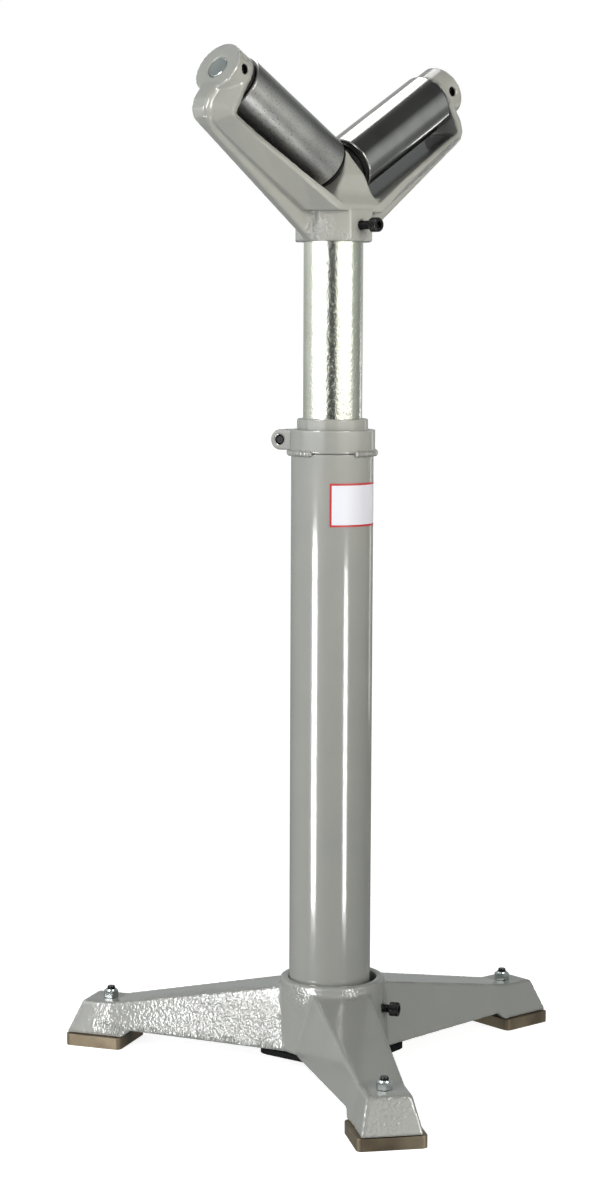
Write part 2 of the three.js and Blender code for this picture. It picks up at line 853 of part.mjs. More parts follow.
// A stepped dust ring at the roller's inner end. Its first step is small enough to pass the
// other arm's ring over the wedge, and a groove parts the wide step into two lips.
function innerDustRing() {
  const [start, end] = [wedgeReach + seatGap, rollerStart - runningGap];
  const step = (start + end) / 2;
  const groove = (step + end) / 2;
  const inner = axleRadius + seatGap;
  const narrow = (start * armCos - seatGap) / armSin;
  return alongAxis(revolve([
    [inner, start],
    [narrow, start],
    [narrow, step],
    [dustRingRadius, step],
    [dustRingRadius, groove - dustGrooveWidth / 2],
    [dustRingRadius - dustGroove, groove - dustGrooveWidth / 2],
    [dustRingRadius - dustGroove, groove + dustGrooveWidth / 2],
    [dustRingRadius, groove + dustGrooveWidth / 2],
    [dustRingRadius, end],
    [inner, end],
    [inner, start],
  ], middleSides));
}

function outerDustRing() {
  const [start, end] = [rollerEnd + runningGap, earInnerReach - seatGap];
  return alongAxis(ring(axleRadius + seatGap, outerDustRadius, start, end, middleSides));
}

function grubScrew() {
  const start = axleRadius + seatGap;
  const body = bar(screwRadius, start, start + grubLength, screwChamfer, smallSides);
  const top = start + grubLength;
  return cut(solidOf(body), [hexBar(grubSocketFlats, top - grubSocketDepth, top + cutOverrun)]);
}

function armPieces(side, name) {
  const nearStart = rollerStart + bearingInset;
  const farStart = rollerEnd - bearingInset - bearingWidth;
  const pieces = [
    piece(`axle_${name}`, axle(), zincPlate()),
    piece(`roller_${name}`, roller(), polishedSteel()),
    piece(`inner_race_${name}_lower`, innerRace(nearStart), bearingSteel()),
    piece(`inner_race_${name}_upper`, innerRace(farStart), bearingSteel()),
    piece(`outer_race_${name}_lower`, outerRace(nearStart), bearingSteel()),
    piece(`outer_race_${name}_upper`, outerRace(farStart), bearingSteel()),
    piece(`dust_ring_${name}_lower`, innerDustRing(), blackRubber()),
    piece(`dust_ring_${name}_upper`, outerDustRing(), blackRubber()),
  ];
  const holder = group(pieces);
  holder.quaternion.setFromRotationMatrix(armFrame(side));
  const screw = piece(`axle_set_screw_${name}`, grubScrew(), blackOxide());
  screw.applyMatrix4(setScrewFrame(side));
  return group([holder, screw]);
}

function headLockScrew() {
  const screw = piece('head_lock_screw', capScrew(headScrewLength), blackOxide());
  screw.rotation.x = Math.PI / 2;
  screw.position.set(0, -(postRadius + runningGap + headScrewLength), headScrewRise - axisRise);
  return screw;
}

function head() {
  return group([
    piece('yoke', yoke(), greyPaint()),
    headLockScrew(),
    armPieces(1, 'right'),
    armPieces(-1, 'left'),
  ], 0, 0, headHeight + axisRise, headTurn);
}

// The whole stand, moved so that the box that holds it stands on the origin.
function stand() {
  const whole = group([base(), column(), post(), head()]);
  whole.updateMatrixWorld(true);
  const box = new THREE.Box3().setFromObject(whole, true);
  const centre = box.getCenter(new THREE.Vector3());
  whole.position.set(-centre.x, -centre.y, -box.min.z);
  return whole;
}

export default stand();
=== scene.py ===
# %% [markdown]
# # A V roller stand in Blender
#
# A workshop stand that carries pipe on two rollers. The solids come from the CAD model, in metres and in
# one shared frame. This lesson gives each of them its real surface: thick glossy paint over rough castings,
# zinc plate, ground steel, black screws, and a light tent to see them in.

# %% Load the frame
import json
import math

import bmesh
import bpy
from mathutils import Matrix, Vector


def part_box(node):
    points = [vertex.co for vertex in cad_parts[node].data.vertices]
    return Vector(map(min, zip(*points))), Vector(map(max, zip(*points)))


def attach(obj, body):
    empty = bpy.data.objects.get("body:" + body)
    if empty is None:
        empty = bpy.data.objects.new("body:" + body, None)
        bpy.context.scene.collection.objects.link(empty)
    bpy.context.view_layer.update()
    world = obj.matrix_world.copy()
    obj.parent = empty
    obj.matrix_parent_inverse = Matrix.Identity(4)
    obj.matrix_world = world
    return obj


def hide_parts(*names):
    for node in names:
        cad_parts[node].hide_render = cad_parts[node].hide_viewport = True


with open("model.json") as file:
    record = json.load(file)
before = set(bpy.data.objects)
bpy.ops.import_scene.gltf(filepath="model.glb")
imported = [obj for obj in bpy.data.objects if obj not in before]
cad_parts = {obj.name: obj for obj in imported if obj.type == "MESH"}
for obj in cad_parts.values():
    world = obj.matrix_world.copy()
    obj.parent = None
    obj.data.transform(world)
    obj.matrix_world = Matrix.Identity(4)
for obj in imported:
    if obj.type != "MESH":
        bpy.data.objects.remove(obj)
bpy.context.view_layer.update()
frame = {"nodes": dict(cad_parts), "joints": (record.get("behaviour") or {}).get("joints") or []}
joints = {joint["name"]: joint for joint in frame["joints"]}
print("nodes:", len(frame["nodes"]), "joints:", sorted(joints))

# %% [markdown]
# ## Places
#
# Most pieces of the stand are round, so each is made upright about its own Z axis and then carried to its
# place by one matrix. The matrices come from the joints: a hinge's axis is the axis of the piece that turns.

# %% Places of the round pieces
MM = 0.001


def place_on(point, axis):
    """A matrix that carries Z to an axis through a point."""
    turn = Vector((0, 0, 1)).rotation_difference(Vector(axis))
    return Matrix.Translation(Vector(point)) @ turn.to_matrix().to_4x4()


def place_of(joint_name):
    joint = joints[joint_name]
    return place_on(joint["pos_m"], joint["axis"])


head_centre = Vector(joints["head_swivel"]["pos_m"])
column_axis = Vector((head_centre.x, head_centre.y, 0))
column_place = Matrix.Translation(column_axis)
clamp_way = Vector(joints["clamp_screw_turn"]["pos_m"]) - column_axis
clamp_place = column_place @ Matrix.Rotation(math.atan2(clamp_way.y, clamp_way.x), 4, "Z")
print("column axis at", column_axis)


# %% Measure a solid about its axis
def measure(node, place, least=0.0):
    """Least and greatest radius, then height, of a CAD node's points about a place's Z axis.

    Points that are nearer to the axis than least are left out.
    """
    back = place.inverted()
    points = [back @ vertex.co for vertex in frame["nodes"][node].data.vertices]
    points = [point for point in points if math.hypot(point.x, point.y) >= least]
    radii = [math.hypot(point.x, point.y) for point in points]
    heights = [point.z for point in points]
    return min(radii), max(radii), min(heights), max(heights)


def standing(node):
    """The place of an upright piece: its own middle on the floor."""
    low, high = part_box(node)
    return Matrix.Translation(((low.x + high.x) / 2, (low.y + high.y) / 2, 0))


print("column:", [round(size, 4) for size in measure("column_tube", column_place)])

# %% [markdown]
# ## Camera
#
# The lens and place come from a camera fitted to the photograph: 76.2 mm on a 36 mm tall frame, at a
# distance of 2.4 m, looking a little down. Both points are counted from the column's foot.

# %% Camera
camera_point = column_axis + Vector((-1.546066, -1.752082, 0.691107))
camera_target = column_axis + Vector((-0.018612, 0.016749, 0.438765))
camera = bpy.data.objects.new("camera", bpy.data.cameras.new("camera"))
bpy.context.scene.collection.objects.link(camera)
camera.data.sensor_fit = "VERTICAL"
camera.data.sensor_height = 36
camera.data.lens = 76.204
look = (camera_target - camera_point).to_track_quat("-Z", "Y").to_matrix().to_4x4()
camera.matrix_world = Matrix.Translation(camera_point) @ look @ Matrix.Rotation(math.radians(0.25), 4, "Z")
bpy.context.scene.camera = camera
bpy.context.scene.view_settings.view_transform = "Standard"
camera_way = camera_point - column_axis
camera_azimuth = math.atan2(camera_way.y, camera_way.x)


def seen_from_camera(turn, radius, height):
    """A point about the column, at an angle counted from the camera's side, rightwards in the picture."""
    angle = camera_azimuth + math.radians(turn)
    return column_axis + Vector((math.cos(angle) * radius, math.sin(angle) * radius, height))


print("camera azimuth", round(math.degrees(camera_azimuth), 1))

# %% [markdown]
# ## Patterns as arithmetic
#
# A finish is a handful of sums on noise. Wrapping a socket in a small class lets those sums be written as
# Python expressions, which are far easier to read than a tree of Math nodes.


# %% A socket that can be added, multiplied and compared
class Value:
    """A socket of one material, with the arithmetic that its patterns use."""

    def __init__(self, recipe, socket):
        self.recipe, self.socket = recipe, socket

    def math(self, operation, *others):
        return self.recipe.add("ShaderNodeMath", {"operation": operation}, dict(enumerate((self, *others))))

    def __add__(self, other):
        return self.math("ADD", other)

    def __mul__(self, other):
        return self.math("MULTIPLY", other)

    def __sub__(self, other):
        return self.math("SUBTRACT", other)

    def __rsub__(self, other):
        return self * -1 + other

    __radd__ = __add__
    __rmul__ = __mul__

    def greatest(self, other):
        return self.math("MAXIMUM", other)

    def between(self, low, high):
        """0 below low, 1 above high, and a straight ramp from one to the other."""
        return self.recipe.add("ShaderNodeMapRange", {}, {"Value": self, "From Min": low, "From Max": high})


# %% A recipe: the nodes of one material or world
class Recipe:
    def __init__(self, tree):
        self.nodes, self.links = tree.nodes, tree.links

    def feed(self, node, sockets):
        for key, value in sockets.items():
            if isinstance(value, Value):
                self.links.new(value.socket, node.inputs[key])
            else:
                node.inputs[key].default_value = value

    def add(self, kind, settings, sockets, output=0):
        node = self.nodes.new(kind)
        for name, setting in settings.items():
            setattr(node, name, setting)
        self.feed(node, sockets)
        return Value(self, node.outputs[output])


# %% A finish: a material whose patterns sit on the stand's own coordinates
class Finish(Recipe):
    def __init__(self, name):
        self.material = bpy.data.materials.new(name)
        self.material.use_nodes = True
        super().__init__(self.material.node_tree)
        self.surface = self.nodes["Principled BSDF"]
        self.place = self.add("ShaderNodeTexCoord", {}, {}, "Object")

    def noise(self, scale, detail=2.0, roughness=0.5, where=None):
        sockets = {"Vector": where or self.place, "Scale": scale, "Detail": detail, "Roughness": roughness}
        return self.add("ShaderNodeTexNoise", {}, sockets)

    def stretched(self, stretch, turn=(0, 0, 0)):
        """Object coordinates, turned and then stretched."""
        turned = self.add("ShaderNodeMapping", {"vector_type": "POINT"},
                          {"Vector": self.place, "Rotation": turn})
        return self.add("ShaderNodeVectorMath", {"operation": "MULTIPLY"}, {0: turned, 1: stretch})

    def part(self, which, where=None):
        """One coordinate: 0 for X, 1 for Y, 2 for Z."""
        return self.add("ShaderNodeSeparateXYZ", {}, {0: where or self.place}, which)

    def distance(self, centre):
        return self.add("ShaderNodeVectorMath", {"operation": "DISTANCE"}, {0: self.place, 1: centre}, 1)

    def near(self, centre, reach):
        """1 near a point, falling to 0 at a distance from it."""
        return 1 - self.distance(centre).between(0.4 * reach, reach)

    def mix(self, share, low, high):
        """A colour between two; a colour Mix node has its colours at 6 and 7 and their blend at 2."""
        return self.add("ShaderNodeMix", {"data_type": "RGBA"}, {0: share, 6: low, 7: high}, 2)

    def bump(self, height, distance):
        normal = self.add("ShaderNodeBump", {}, {"Height": height, "Distance": distance, "Strength": 1.0})
        self.feed(self.surface, {"Normal": normal})


print("patterns ready")

# %% [markdown]
# ## Paint on the castings
#
# The legs and the yoke are sand castings under thick gloss enamel. The sand's grain shows through as a
# hammered skin that glitters where light grazes it. It is strong on a few walls and faint elsewhere, because
# the rest was ground before painting. So one noise gives the hammering, and a list of places says where it
# is deep. Along the left leg's lower edge the paint has run down and stands in short drips. Oil darkens the
# Painted shade darkens the arms' floors under the rollers and the mouths of the screws' holes to near black.

# %% Where the castings are rough
LEFT_LEG = math.radians(120)
leg_way = Vector((math.cos(LEFT_LEG), math.sin(LEFT_LEG), 0))
leg_side = Vector((-leg_way.y, leg_way.x, 0))
leg_spots = [
    (column_axis + leg_way * reach * MM + leg_side * 30 * MM + Vector((0, 0, 42 * MM)), 42 * MM, depth)
    for reach, depth in ((58, 1.0), (85, 1.0), (112, 0.9), (140, 0.7), (168, 0.45), (200, 0.3))
]
head_spots = [
    (seen_from_camera(-25, 34 * MM, 0.780), 17 * MM, 1.8),
    (seen_from_camera(17, 36 * MM, 0.768), 12 * MM, 0.9),
    (seen_from_camera(-40, 52 * MM, 0.074), 16 * MM, 0.9),
    (seen_from_camera(22, 52 * MM, 0.074), 14 * MM, 1.0),
    (seen_from_camera(11, 0.262, 0.03), 40 * MM, 0.35),
]
print("rough places:", len(leg_spots) + len(head_spots))


# %% Holes with painted shade in their mouths
def hole_mouth(node, axle_joint):
    """A point 4 mm down the hole that a set screw sits in, on the side of the boss where the hole opens."""
    low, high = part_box(node)
    middle, axle = (low + high) / 2, place_of(axle_joint)
    foot = axle @ Vector((0, 0, (axle.inverted() @ middle).z))
    return foot + (middle - foot).normalized() * 20 * MM


# Shade is painted black around these points, in the set screws' holes and in the clamp lug's hole.
set_screw_holes = [hole_mouth(f"axle_set_screw_{side}", f"roller_{side}_spin") for side in ("right", "left")]
lug_hole = clamp_place @ Vector((clamp_way.xy.length, 0, clamp_way.z))
print("set screw holes at", set_screw_holes)

# %% Painted shade under the rollers
# The rollers' axes cross at CROSSING below the middle of each roller, and rise from there by ARM_RISE.
CROSSING, ARM_RISE, WEDGE_GAP = 84 * MM, math.pi / 6, 0.25 * MM
# Where the shade under each roller is painted: its reach along the axle and its distance from the axle.
ROLLER_SHADE_REACH = (16 * MM, 24 * MM, 146 * MM, 156 * MM)
ROLLER_SHADE_DEPTH = (38 * MM, 45 * MM)

# %% Enamel
GREY_LIGHT = (0.285, 0.285, 0.265, 1)
GREY_DARK = (0.270, 0.272, 0.255, 1)
# Near black for the painted shade under the rollers and in the mouths of the holes.
ROLLER_SHADE_BLACK = (0.01, 0.011, 0.013, 1)
HOLE_SHADE_BLACK = (0.004, 0.004, 0.004, 1)
HAMMERING_DEPTH, DRIP_DEPTH = 0.6 * MM, 1.5 * MM


def painted_roller_shade(finish, side):
    """1 on the floor of an arm, under its roller, where shade is painted near black."""
    back = place_of(f"roller_{side}_spin").inverted()
    in_arm = finish.add("ShaderNodeMapping", {"vector_type": "POINT"}, {
        "Vector": finish.place, "Location": back.to_translation(), "Rotation": back.to_euler()})
    along = finish.part(2, in_arm) + CROSSING
    beside = finish.add("ShaderNodeVectorMath", {"operation": "MULTIPLY"}, {0: in_arm, 1: (1, 1, 0)})
    beside = finish.add("ShaderNodeVectorMath", {"operation": "LENGTH"}, {0: beside}, 1)
    start, full, end, gone = ROLLER_SHADE_REACH
    return (1 - beside.between(*ROLLER_SHADE_DEPTH)) * along.between(start, full) * (1 - along.between(end, gone))


def enamel(name, peel, spots=(), dripping=(), holes=(), hole_reach=5.4 * MM, roller_shade_sides=()):
    """Grey gloss paint. Peel is the depth of its overall unevenness, and spots say where it is hammered."""
    finish = Finish(name)
    colour = finish.mix(finish.noise(22, 3).between(0.35, 0.65), GREY_DARK, GREY_LIGHT)
    # Painted shade: the floor under each roller is mixed towards black.
    for side in roller_shade_sides:
        colour = finish.mix(painted_roller_shade(finish, side) * 0.94, colour, ROLLER_SHADE_BLACK)
    # Painted shade: the mouth of each hole is mixed towards black.
    for centre in holes:
        inside = 1 - finish.distance(centre).between(0.82 * hole_reach, hole_reach)
        colour = finish.mix(inside, colour, HOLE_SHADE_BLACK)
    finish.feed(finish.surface, {
        "Base Color": colour,
        "Roughness": 0.09 + 0.08 * finish.noise(300, 2),
        "Specular IOR Level": 0.85,
    })
    height = peel * finish.noise(170, 2, where=finish.stretched((1, 1, 0.6))) + peel * finish.noise(60, 1)
    if spots:
        rough = finish.noise(16, 2).between(0.5, 0.7) * 0.15
        for centre, reach, depth in spots:
            rough = rough.greatest(finish.near(centre, reach) * depth)
        hammering = finish.noise(340, 1.5, 0.55).between(0.3, 0.7)
        height = height + rough * hammering * HAMMERING_DEPTH
    if dripping:
        level = finish.part(2)
        edge = level.between(13 * MM, 16 * MM) * (1 - level.between(23 * MM, 27 * MM))
        where = finish.near(*dripping[0][:2])
        for centre, reach, _ in dripping[1:]:
            where = where.greatest(finish.near(centre, reach))
        drips = finish.noise(330, 1, 0.5, finish.stretched((1, 1, 0.1))).between(0.45, 0.65)
        height = height + drips * edge * where * DRIP_DEPTH
    finish.bump(height, 1.0)
    return finish.material


cast_paint = enamel("cast_enamel", 0.035 * MM, leg_spots + head_spots, leg_spots, set_screw_holes,
                    roller_shade_sides=("right", "left"))
tube_paint = enamel("tube_enamel", 0.045 * MM, holes=[lug_hole], hole_reach=11.6 * MM)
print("enamels:", cast_paint.name, tube_paint.name)

# %% [markdown]
# ## Metals
#
# Zinc plate is bright but grainy, with a faint yellow tint from its passivation. Ground steel has a fine
# grain drawn out along the roller, and the left roller is the duller one. Black oxide is thin and oily, so
# it keeps the sheen of the steel below.


# %% Zinc, ground steel, brown steel
def metal(name, dark, bright, roughness, spread, scale, grain, stretch=(1, 1, 1), turn=(0, 0, 0), bare=1.0):
    finish = Finish(name)
    speckle = finish.noise(scale, 3, 0.6, finish.stretched(stretch, turn))
    cloud = finish.noise(24, 2)
    finish.feed(finish.surface, {
        "Metallic": bare,
        "Base Color": finish.mix(cloud.between(0.3, 0.7), dark, bright),
        "Roughness": roughness + spread * (speckle - 0.5),
    })
    finish.bump(speckle, grain)
    return finish.material


post_plate = metal("post_zinc", (0.68, 0.69, 0.60, 1), (0.78, 0.79, 0.71, 1), 0.2, 0.4, 430, 0.24 * MM,
                   (1, 1, 0.6))
zinc_plate = metal("zinc", (0.42, 0.46, 0.46, 1), (0.60, 0.64, 0.64, 1), 0.2, 0.2, 800, 0.03 * MM)
bearing_steel = metal("bearing_steel", (0.5, 0.5, 0.5, 1), (0.6, 0.6, 0.6, 1), 0.25, 0.1, 900, 0.02 * MM)
pad_metal = metal("pad_metal", (0.10, 0.077, 0.05, 1), (0.29, 0.235, 0.16, 1), 0.45, 0.3, 330, 0.1 * MM,
                  (1, 1, 3), bare=0.7)
roller_steel = {
    side: metal(f"roller_steel_{side}", (0.44, 0.43, 0.42, 1), (0.60, 0.59, 0.57, 1), dull, spread, 800,
                grain, (1, 1, 0.5), tuple(place_of(f"roller_{side}_spin").inverted().to_euler()))
    for side, dull, spread, grain in (("right", 0.15, 0.14, 0.012 * MM), ("left", 0.3, 0.22, 0.014 * MM))
}
print("metals ready")


# %% Rubber, black paint, black oxide
def plain(name, colour, roughness, grain, shine=0.5):
    finish = Finish(name)
    speckle = finish.noise(500, 2)
    worn = tuple(part * 1.8 for part in colour[:3]) + (1,)
    finish.feed(finish.surface, {
        "Base Color": finish.mix(speckle, colour, worn),
        "Roughness": roughness + 0.2 * (speckle - 0.5),
        "Specular IOR Level": shine,
    })
    finish.bump(speckle, grain)
    return finish.material


black_rubber = plain("black_rubber", (0.006, 0.006, 0.006, 1), 0.4, 0.05 * MM, 0.3)
black_paint = plain("black_paint", (0.003, 0.003, 0.003, 1), 0.6, 0.1 * MM, 0.1)
black_oxide = plain("black_oxide", (0.004, 0.004, 0.004, 1), 0.27, 0.04 * MM, 0.3)

# %% [markdown]
# ## Ways to make a piece
#
# Three ways cover the whole stand. Round pieces are turned: a profile is spun about Z. Plates and hexagons
# start as a primitive and are bevelled. Castings start from the CAD solid and are melted a little, which
# rounds every edge and fillets every corner as the foundry does.

# %% Place a finished piece
SMOOTH_ANGLE = math.radians(32)


def add_piece(name, shape, place, body, material, nodes=(), cast=False):
    """Makes a bmesh a piece of the stand: it is placed in its mesh, shaded, and rides on its body.

    Weighted normals keep a long wall straight in its reflections, where it meets a small rounded edge.
    """
    shape.transform(place)
    mesh = bpy.data.meshes.new(name)
    shape.to_mesh(mesh)
    shape.free()
    mesh.shade_smooth()
    mesh.set_sharp_from_angle(angle=SMOOTH_ANGLE)
    mesh.materials.append(material)
    piece = bpy.data.objects.new(name, mesh)
    bpy.context.scene.collection.objects.link(piece)
    if not cast:
        piece.modifiers.new("straight_walls", "WEIGHTED_NORMAL").keep_sharp = True
    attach(piece, body)
    if nodes:
        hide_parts(*nodes)
    return piece


# %% Turn a profile about Z
def turned(profile, steps=96, edge=0.0):
    """Spins (radius, height) points about Z. A profile that is off the axis is closed to a ring."""
    shape = bmesh.new()
    corners = [shape.verts.new((radius, 0, height)) for radius, height in profile]
    closed = min(radius for radius, _ in profile) > 0
    pairs = list(zip(corners, corners[1:])) + ([(corners[-1], corners[0])] if closed else [])
    for pair in pairs:
        shape.edges.new(pair)
    if edge:
        round_off = [corner for corner in corners if corner.co.x > 0]
        bmesh.ops.bevel(shape, geom=round_off, offset=edge, affect="VERTICES", segments=3, profile=0.5,
                        material=-1)
    bmesh.ops.spin(shape, geom=shape.verts[:] + shape.edges[:], cent=(0, 0, 0), axis=(0, 0, 1),
                   angle=2 * math.pi, steps=steps, use_merge=True)
    bmesh.ops.remove_doubles(shape, verts=shape.verts[:], dist=1e-7)
    bmesh.ops.recalc_face_normals(shape, faces=shape.faces[:])
    return shape


def tube(inner, outer, low, high, edge, steps=128):
    return turned([(inner, low), (outer, low), (outer, high), (inner, high)], steps, edge)


# %% Blocks, hexagons and cuts
def prism(radius, sides, low, high):
    shape = bmesh.new()
    bmesh.ops.create_cone(shape, cap_ends=True, segments=sides, radius1=radius, radius2=radius,
                          depth=high - low)
    bmesh.ops.translate(shape, verts=shape.verts[:], vec=(0, 0, (high + low) / 2))
    return shape


def block(low, high):
    shape = bmesh.new()
    bmesh.ops.create_cube(shape, size=1)
    low, high = Vector(low), Vector(high)
    shape.transform(Matrix.Translation((low + high) / 2) @ Matrix.Diagonal((*(high - low), 1)))
    return shape


def as_object(shape):
    mesh = bpy.data.meshes.new("scratch")
    shape.to_mesh(mesh)
    shape.free()
    target = bpy.data.objects.new("scratch", mesh)
    bpy.context.scene.collection.objects.link(target)
    return target


def baked(target, *helpers):
    """A bmesh of an object with its modifiers applied; the object and its helpers are removed."""
    graph = bpy.context.evaluated_depsgraph_get()
    result = bmesh.new()
    result.from_mesh(target.evaluated_get(graph).to_mesh())
    for scratch in (target, *helpers):
        mesh = scratch.data
        bpy.data.objects.remove(scratch)
        bpy.data.meshes.remove(mesh)
    return result


def carve(shape, tool, operation="DIFFERENCE"):
    """Cuts one bmesh by another, joins them, or keeps what they share, and returns the result."""
    target, helper = as_object(shape), as_object(tool)
    cut = target.modifiers.new("cut", "BOOLEAN")
    cut.operation, cut.solver, cut.object = operation, "EXACT", helper
    return baked(target, helper)


# %% Rounded edges
def copy_of(node):
    """A CAD node as a bmesh, with its loose triangles joined."""
    shape = bmesh.new()
    shape.from_mesh(frame["nodes"][node].data)
    bmesh.ops.remove_doubles(shape, verts=shape.verts[:], dist=1e-6)
    return shape


def softened(shape, edge, segments=2, angle=math.radians(40)):
    """Rounds every edge that is sharper than an angle."""
    bmesh.ops.dissolve_limit(shape, angle_limit=math.radians(1), verts=shape.verts[:], edges=shape.edges[:])
    sharp = [line for line in shape.edges if line.is_manifold and line.calc_face_angle() > angle]
    bmesh.ops.bevel(shape, geom=sharp, offset=edge, affect="EDGES", segments=segments, profile=0.5,
                    material=-1, clamp_overlap=True)
    return shape


print("ways to make a piece: turned, prism, block, carve, softened")


# %% Melt a shape as a casting
def melted(shape, voxel, passes):
    """Remeshes a shape in small voxels and smooths it, which rounds its edges and fills its corners."""
    target = as_object(shape)
    melt = target.modifiers.new("melt", "REMESH")
    melt.mode, melt.voxel_size = "VOXEL", voxel
    relax = target.modifiers.new("relax", "SMOOTH")
    relax.factor, relax.iterations = 0.5, passes
    return baked(target)


HAIR = 0.22 * MM


def trued(shape, place, low, high):
    """Puts points that lie within a hair of a cone back on it. Low and high are its (radius, height) ends."""
    back = place.inverted()
    for point in shape.verts:
        where = back @ point.co
        share = (where.z - low[1]) / (high[1] - low[1])
        radius = low[0] + (high[0] - low[0]) * share
        reach = math.hypot(where.x, where.y)
        if 0 <= share <= 1 and abs(reach - radius) < HAIR:
            where.xy *= radius / reach
            point.co = place @ where
    return shape


# %% [markdown]
# ## Castings
#
# The hub and its three legs are one casting, and the yoke is another. Both are melted copies of their CAD
# solids. The melt leaves the CAD's facets on round walls, so the points of those are put back on their cone.

# %% Base casting
HUB_LOW, HUB_HIGH = (53 * MM, 18.5 * MM), (49 * MM, 83.5 * MM)
HUB_BORE, HUB_SHIFT = 41 * MM, 2.75 * MM
BASE_VOXEL, YOKE_VOXEL = 1.75 * MM, 1.1 * MM
hub_way = Vector(joints["base_lock_screw_turn"]["axis"])
hub_place = column_place @ Matrix.Translation(-hub_way * HUB_SHIFT)
base_shape = melted(copy_of("base_casting"), BASE_VOXEL, 4)
base_shape = trued(base_shape, hub_place, HUB_LOW, HUB_HIGH)
base_shape = trued(base_shape, hub_place, (HUB_BORE, 19 * MM), (HUB_BORE, 84 * MM))
base_piece = add_piece("base_casting_cast", base_shape, Matrix(), "base", cast_paint,
                       ["base_casting"], cast=True)
base_piece.data.shade_smooth()
print("base casting:", len(base_piece.data.polygons), "faces")

# %% Yoke casting
BOSS_RADIUS, AXLE_BORE = 24 * MM, 10.3 * MM
BOSS_START, BOSS_END = 68 * MM, 95 * MM
yoke_shape = melted(copy_of("yoke"), YOKE_VOXEL, 4)
for side in ("right", "left"):
    arm_place = place_of(f"roller_{side}_spin")
    for radius in (BOSS_RADIUS, AXLE_BORE):
        yoke_shape = trued(yoke_shape, arm_place, (radius, BOSS_START), (radius, BOSS_END))
yoke_piece = add_piece("yoke_cast", yoke_shape, Matrix(), "head", cast_paint, ["yoke"],
                       cast=True)
yoke_piece.data.shade_smooth()
print("yoke:", len(yoke_piece.data.polygons), "faces")

# %% [markdown]
# ## Column, sleeve and post
#
# All three are tubes. The column and the sleeve that stands out of it are painted with the castings' grey,
# but their steel is smooth, so the paint only has a slow unevenness. The post is zinc plated. The sleeve is
# split on the side of the clamp's lugs, so that the collar can squeeze it.

# %% Tubes
SLOT = 3 * MM
column_sizes = measure("column_tube", column_place)
add_piece("column_tube_turned", tube(*column_sizes, 0.5 * MM), column_place, "base", tube_paint,
          ["column_tube"])
add_piece("post_tube_turned", tube(*measure("post_tube", column_place), 0.6 * MM), column_place, "post",
          post_plate, ["post_tube"])
_, sleeve_radius, sleeve_low, sleeve_high = measure("guide_sleeve", clamp_place)
sleeve_bore = measure("post_tube", column_place)[1] + 0.3 * MM
sleeve = tube(sleeve_bore, sleeve_radius, sleeve_low, sleeve_high, 1.6 * MM)
split = block((0, -SLOT / 2, sleeve_low - MM), (sleeve_radius + MM, SLOT / 2, sleeve_high + MM))
add_piece("guide_sleeve_split", carve(sleeve, split), clamp_place, "base", tube_paint,
          ["guide_sleeve"])
print("sleeve stands to", round(sleeve_high, 4))

# %% [markdown]
# ## Clamp collar
#
# The collar is a split ring with two lugs, through which one screw pulls it tight. It is a ring, a block and
# a cylinder joined, with the split and the screw's hole cut out, and then melted like a casting, because
# thick paint rounds all its edges.

# %% Collar
COLLAR_STEP = 1.3 * MM
LUG_RADIUS, LUG_THICKNESS, SCREW_HOLE = 9.5 * MM, 8 * MM, 4.4 * MM
_, _, collar_low, collar_high = measure("clamp_collar", clamp_place)
collar_middle = (collar_low + collar_high) / 2
lug_reach = clamp_way.xy.length
half = SLOT / 2 + LUG_THICKNESS
across = Matrix.Translation((lug_reach, 0, collar_middle)) @ Matrix.Rotation(math.pi / 2, 4, "X")
ring = tube(column_sizes[0], column_sizes[1] + COLLAR_STEP, collar_low, collar_high, 0.8 * MM)
tongue = block((column_sizes[1] - MM, -half, collar_middle - LUG_RADIUS),
               (lug_reach, half, collar_middle + LUG_RADIUS))
lug_end, screw_hole = prism(LUG_RADIUS, 64, -half, half), prism(SCREW_HOLE, 48, -half - MM, half + MM)
lug_end.transform(across)
screw_hole.transform(across)
collar = carve(carve(ring, tongue, "UNION"), lug_end, "UNION")
split = block((0, -SLOT / 2, collar_low - MM), (lug_reach + 2 * LUG_RADIUS, SLOT / 2, collar_high + MM))
collar = melted(carve(carve(collar, split), screw_hole), 0.6 * MM, 3)
add_piece("clamp_collar_split", collar, clamp_place, "base", tube_paint, ["clamp_collar"])
print("collar from", round(collar_low, 4), "to", round(collar_high, 4))

# %% [markdown]
# ## Weld beads
#
# A short weld on each side ties the collar to the column. A bead is a row of frozen puddles: a circle is spun
# along part of the column's edge, and then swells and shrinks along its way, most of all at its two ends.

# %% Beads
BEAD_RADIUS, BEAD_SPAN = 2.7 * MM, 72
bead_level = (column_sizes[3] + collar_low) / 2
bead_track = column_sizes[1] + COLLAR_STEP


